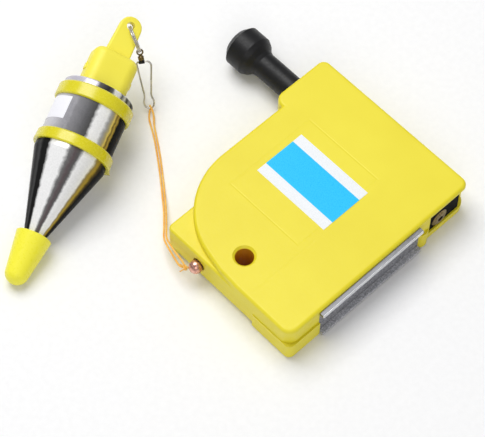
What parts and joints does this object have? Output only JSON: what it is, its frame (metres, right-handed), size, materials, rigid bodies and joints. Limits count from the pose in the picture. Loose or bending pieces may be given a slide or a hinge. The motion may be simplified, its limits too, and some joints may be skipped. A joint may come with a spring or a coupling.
{
  "type": "plumb line reel",
  "caption": "Spring-wound plumb line reel with magnetic mounting side and push needle; doubled leader, wire snap, swivel and steel plumb bob with tip cap.",
  "frame": {"origin": "foot of the spool axis on the rear face of the case", "axes": "+Z out of the front cover, +X out of the magnetic mounting side, +Y towards the needle end; the line hangs towards -Y in use"},
  "size_m": [0.1567, 0.1656, 0.0392],
  "materials": {
    "yellow_plastic": "satin",
    "yellow_band": "glossy",
    "black_plastic": "satin",
    "label_print": "printed sticker, plain colour fields",
    "white_sticker": "glossy sticker",
    "plate_steel": "zinc plated",
    "ferrite": "matte grey",
    "polished_steel": "polished",
    "wire_steel": "bright",
    "spring_steel": "bright",
    "brass": "turned",
    "copper": "polished copper",
    "white_plastic": "moulded",
    "orange_line": "twisted nylon line"
  },
  "bodies": {
    "case": {"front_cover": "yellow_plastic", "rear_cover": "yellow_plastic", "case_screws": "spring_steel", "front_label": "label_print", "upper_pole_plate": "plate_steel", "lower_pole_plate": "plate_steel", "magnet_block": "ferrite", "needle_guide": "black_plastic", "needle_nose": "brass", "return_spring": "spring_steel", "spool_axle": "spring_steel", "drag_washer": "spring_steel", "power_spring": "spring_steel", "outlet_eyelet": "brass", "main_line": "orange_line"},
    "spool": {"spool": "white_plastic", "wound_line": "orange_line"},
    "knob": {"push_knob": "black_plastic", "needle": "wire_steel"},
    "line_end": {"line_bead": "copper", "leader_knot": "orange_line", "leader_loop": "orange_line", "snap_hook": "wire_steel", "snap_clasp": "black_plastic", "swivel_eye": "brass", "tab_ring": "wire_steel"},
    "swivel": {"swivel_barrel": "brass"},
    "bob": {"bob_head": "yellow_plastic", "head_stud": "spring_steel", "bob_body": "polished_steel", "upper_band": "yellow_band", "lower_band": "yellow_band", "bob_sticker": "white_sticker"},
    "cap": {"tip_cap": "yellow_band"}
  },
  "joints": [
    {"name": "line_payout", "type": "slide", "parent": "case", "child": "line_end", "axis": [0, -1, 0], "range_m": [0, 2.9]},
    {"name": "spool_spin", "type": "hinge", "parent": "case", "child": "spool", "pos_m": [0, 0, 0], "axis": [0, 0, 1], "continuous": true, "deforming": ["power_spring"]},
    {"name": "knob_press", "type": "slide", "parent": "case", "child": "knob", "axis": [1, 0, 0], "range_m": [0, 0.016], "stiffness_N_per_m": 250, "springref_m": -0.012, "deforming": ["return_spring"]},
    {"name": "swivel_spin", "type": "hinge", "parent": "line_end", "child": "swivel", "pos_m": [-0.09233, 0.01053, 0.02114], "axis": [0.5051, -0.2639, -0.8217], "continuous": true},
    {"name": "bob_swing", "type": "hinge", "parent": "line_end", "child": "bob", "pos_m": [-0.103, 0.0141, 0.03027], "axis": [0.4781, 0.0023, 0.8783], "range_deg": [-130, 0]},
    {"name": "cap_pull", "type": "slide", "parent": "bob", "child": "cap", "axis": [0.3943, -0.8941, -0.2123], "range_m": [0, 0.025]}
  ],
  "couplings": [
    {"joint": "spool_spin", "follows": "line_payout", "rad_per_m": 86.207}
  ]
}
